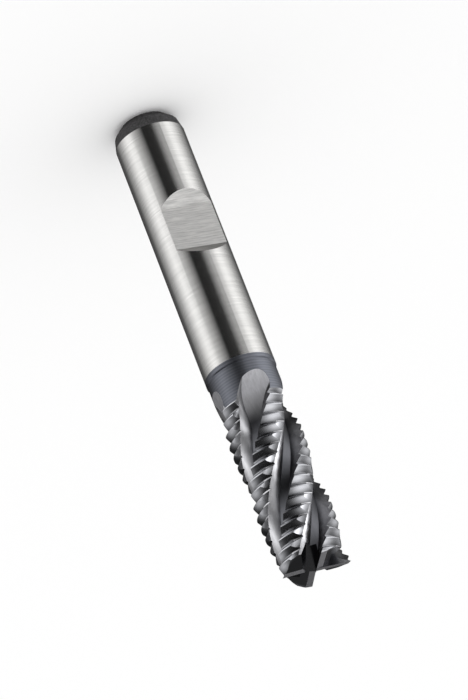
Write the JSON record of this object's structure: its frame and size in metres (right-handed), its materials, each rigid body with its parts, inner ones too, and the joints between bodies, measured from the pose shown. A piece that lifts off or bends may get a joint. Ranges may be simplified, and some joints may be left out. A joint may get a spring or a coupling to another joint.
{
  "type": "endmill",
  "caption": "Roughing end mill in one piece: round shank with a side-lock flat, short relieved neck, helical flutes and knuckled cutting edges.",
  "frame": {"origin": "centre of the flat end face of the shank", "axes": "+Z along the tool's axis from the shank to the cutting end, +X square out of the side-lock flat"},
  "size_m": [0.0102, 0.0102, 0.072],
  "materials": {
    "tool_steel": "ground and polished"
  },
  "bodies": {
    "root": {"endmill": "tool_steel"}
  },
  "joints": []
}
